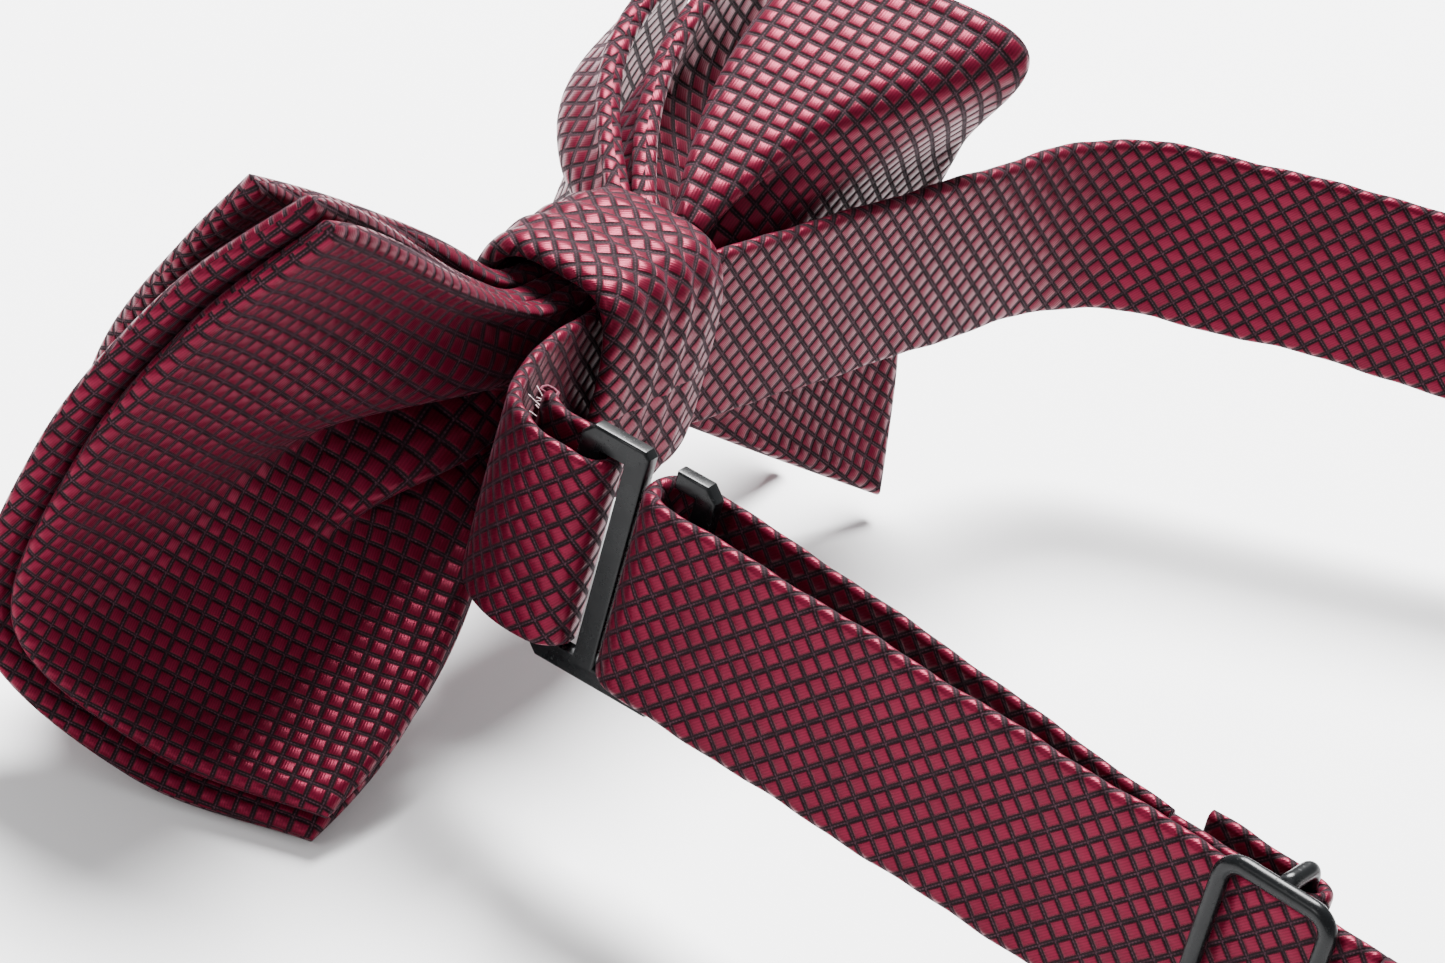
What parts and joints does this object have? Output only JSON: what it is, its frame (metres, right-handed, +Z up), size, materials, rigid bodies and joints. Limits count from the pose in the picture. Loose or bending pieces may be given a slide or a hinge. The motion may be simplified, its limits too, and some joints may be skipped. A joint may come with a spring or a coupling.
{
  "type": "bow tie",
  "caption": "Pre-tied bow tie in checked wine-red cloth, on an adjustable neckband with an open-slot hook clasp and a wire slider.",
  "frame": {"origin": "on the surface the tie stands on, under the middle of its box", "axes": "+Z up, bow along X with its front towards -Y, neck loop towards +Y"},
  "size_m": [0.1667, 0.1765, 0.0599],
  "materials": {
    "wine_cloth": "silk-like jacquard of small satin squares on a dark diagonal grid",
    "interlining": "plain undyed woven interlining",
    "thread": "dark wine sewing thread",
    "black_metal": "glossy black enamel"
  },
  "bodies": {
    "bow": {"front_leaf_left": "wine_cloth", "front_leaf_left_interlining": "interlining", "front_leaf_right": "wine_cloth", "front_leaf_right_interlining": "interlining", "middle_leaf_left": "wine_cloth", "middle_leaf_left_interlining": "interlining", "middle_leaf_right": "wine_cloth", "middle_leaf_right_interlining": "interlining", "rear_leaf_left": "wine_cloth", "rear_leaf_left_interlining": "interlining", "rear_leaf_right": "wine_cloth", "rear_leaf_right_interlining": "interlining", "knot_wrap": "wine_cloth", "knot_padding": "interlining", "knot_rear_seam": "thread", "band_anchor_seam": "thread", "clasp_tab": "wine_cloth", "tab_bartack_1": "thread", "tab_bartack_2": "thread", "neckband": "wine_cloth", "neckband_interlining": "interlining"},
    "clasp": {"hook_clasp": "black_metal"},
    "strap": {"strap_outer": "wine_cloth", "strap_outer_interlining": "interlining", "strap_inner": "wine_cloth"},
    "slider": {"slider": "black_metal", "strap_sewn_end": "wine_cloth", "strap_bartack": "thread"}
  },
  "joints": [
    {"name": "clasp_hinge", "type": "hinge", "parent": "bow", "child": "clasp", "pos_m": [0.04937, -0.04312, 0.02847], "axis": [0, 0, 1], "range_deg": [-5, 5]},
    {"name": "strap_unhook", "type": "slide", "parent": "bow", "child": "strap", "axis": [0, 0, 1], "range_m": [0, 0.026]},
    {"name": "slider_adjust", "type": "slide", "parent": "strap", "child": "slider", "axis": [-0.0698, -0.9976, 0], "range_m": [0, 0.025], "deforming": ["strap_inner"]}
  ]
}
